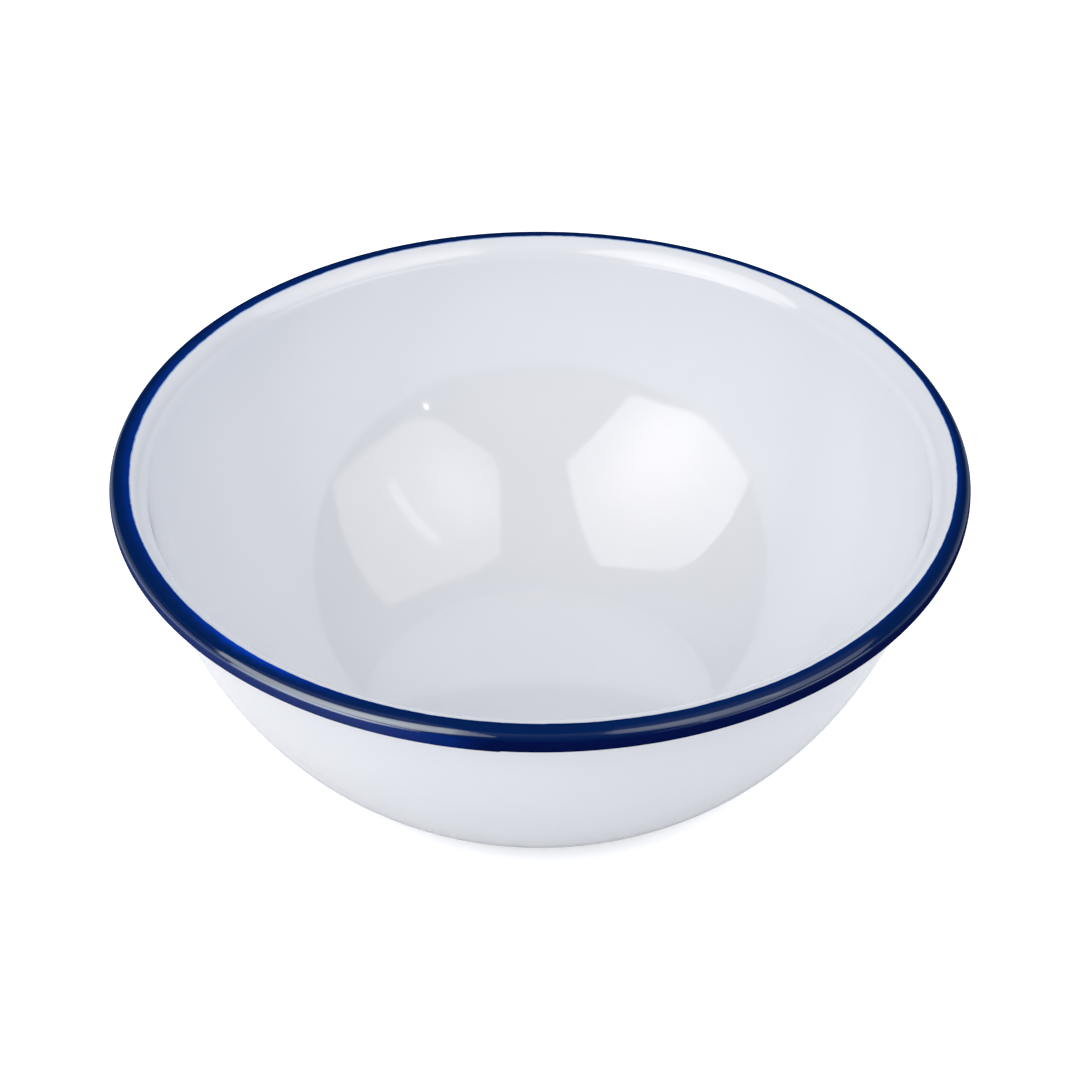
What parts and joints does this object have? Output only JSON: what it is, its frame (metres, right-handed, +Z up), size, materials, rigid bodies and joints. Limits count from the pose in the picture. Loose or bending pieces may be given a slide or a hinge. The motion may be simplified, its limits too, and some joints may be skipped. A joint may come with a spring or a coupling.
{
  "type": "pudding bowl",
  "caption": "Round-sided white enamelled steel bowl with a flat base, a flared lip and a rolled dark blue rim, for serving or mixing food.",
  "frame": {"origin": "middle of the base's underside, on the surface that the bowl stands on", "axes": "+Z up along the bowl's axis, -Y towards the viewer of the picture"},
  "size_m": [0.16, 0.16, 0.0616],
  "materials": {
    "sheet_steel": "bare low-carbon sheet steel, cleaned, hidden under the enamel",
    "ground_enamel": "dark ground-coat enamel, hidden under the white",
    "white_enamel": "glossy white vitreous enamel with a slight ripple",
    "blue_enamel": "glossy dark blue vitreous enamel, brushed on the rim"
  },
  "bodies": {
    "root": {"steel_bowl": "sheet_steel", "inner_ground_coat": "ground_enamel", "outer_ground_coat": "ground_enamel", "inner_white_enamel": "white_enamel", "outer_white_enamel": "white_enamel", "blue_rim_enamel": "blue_enamel"}
  },
  "joints": []
}
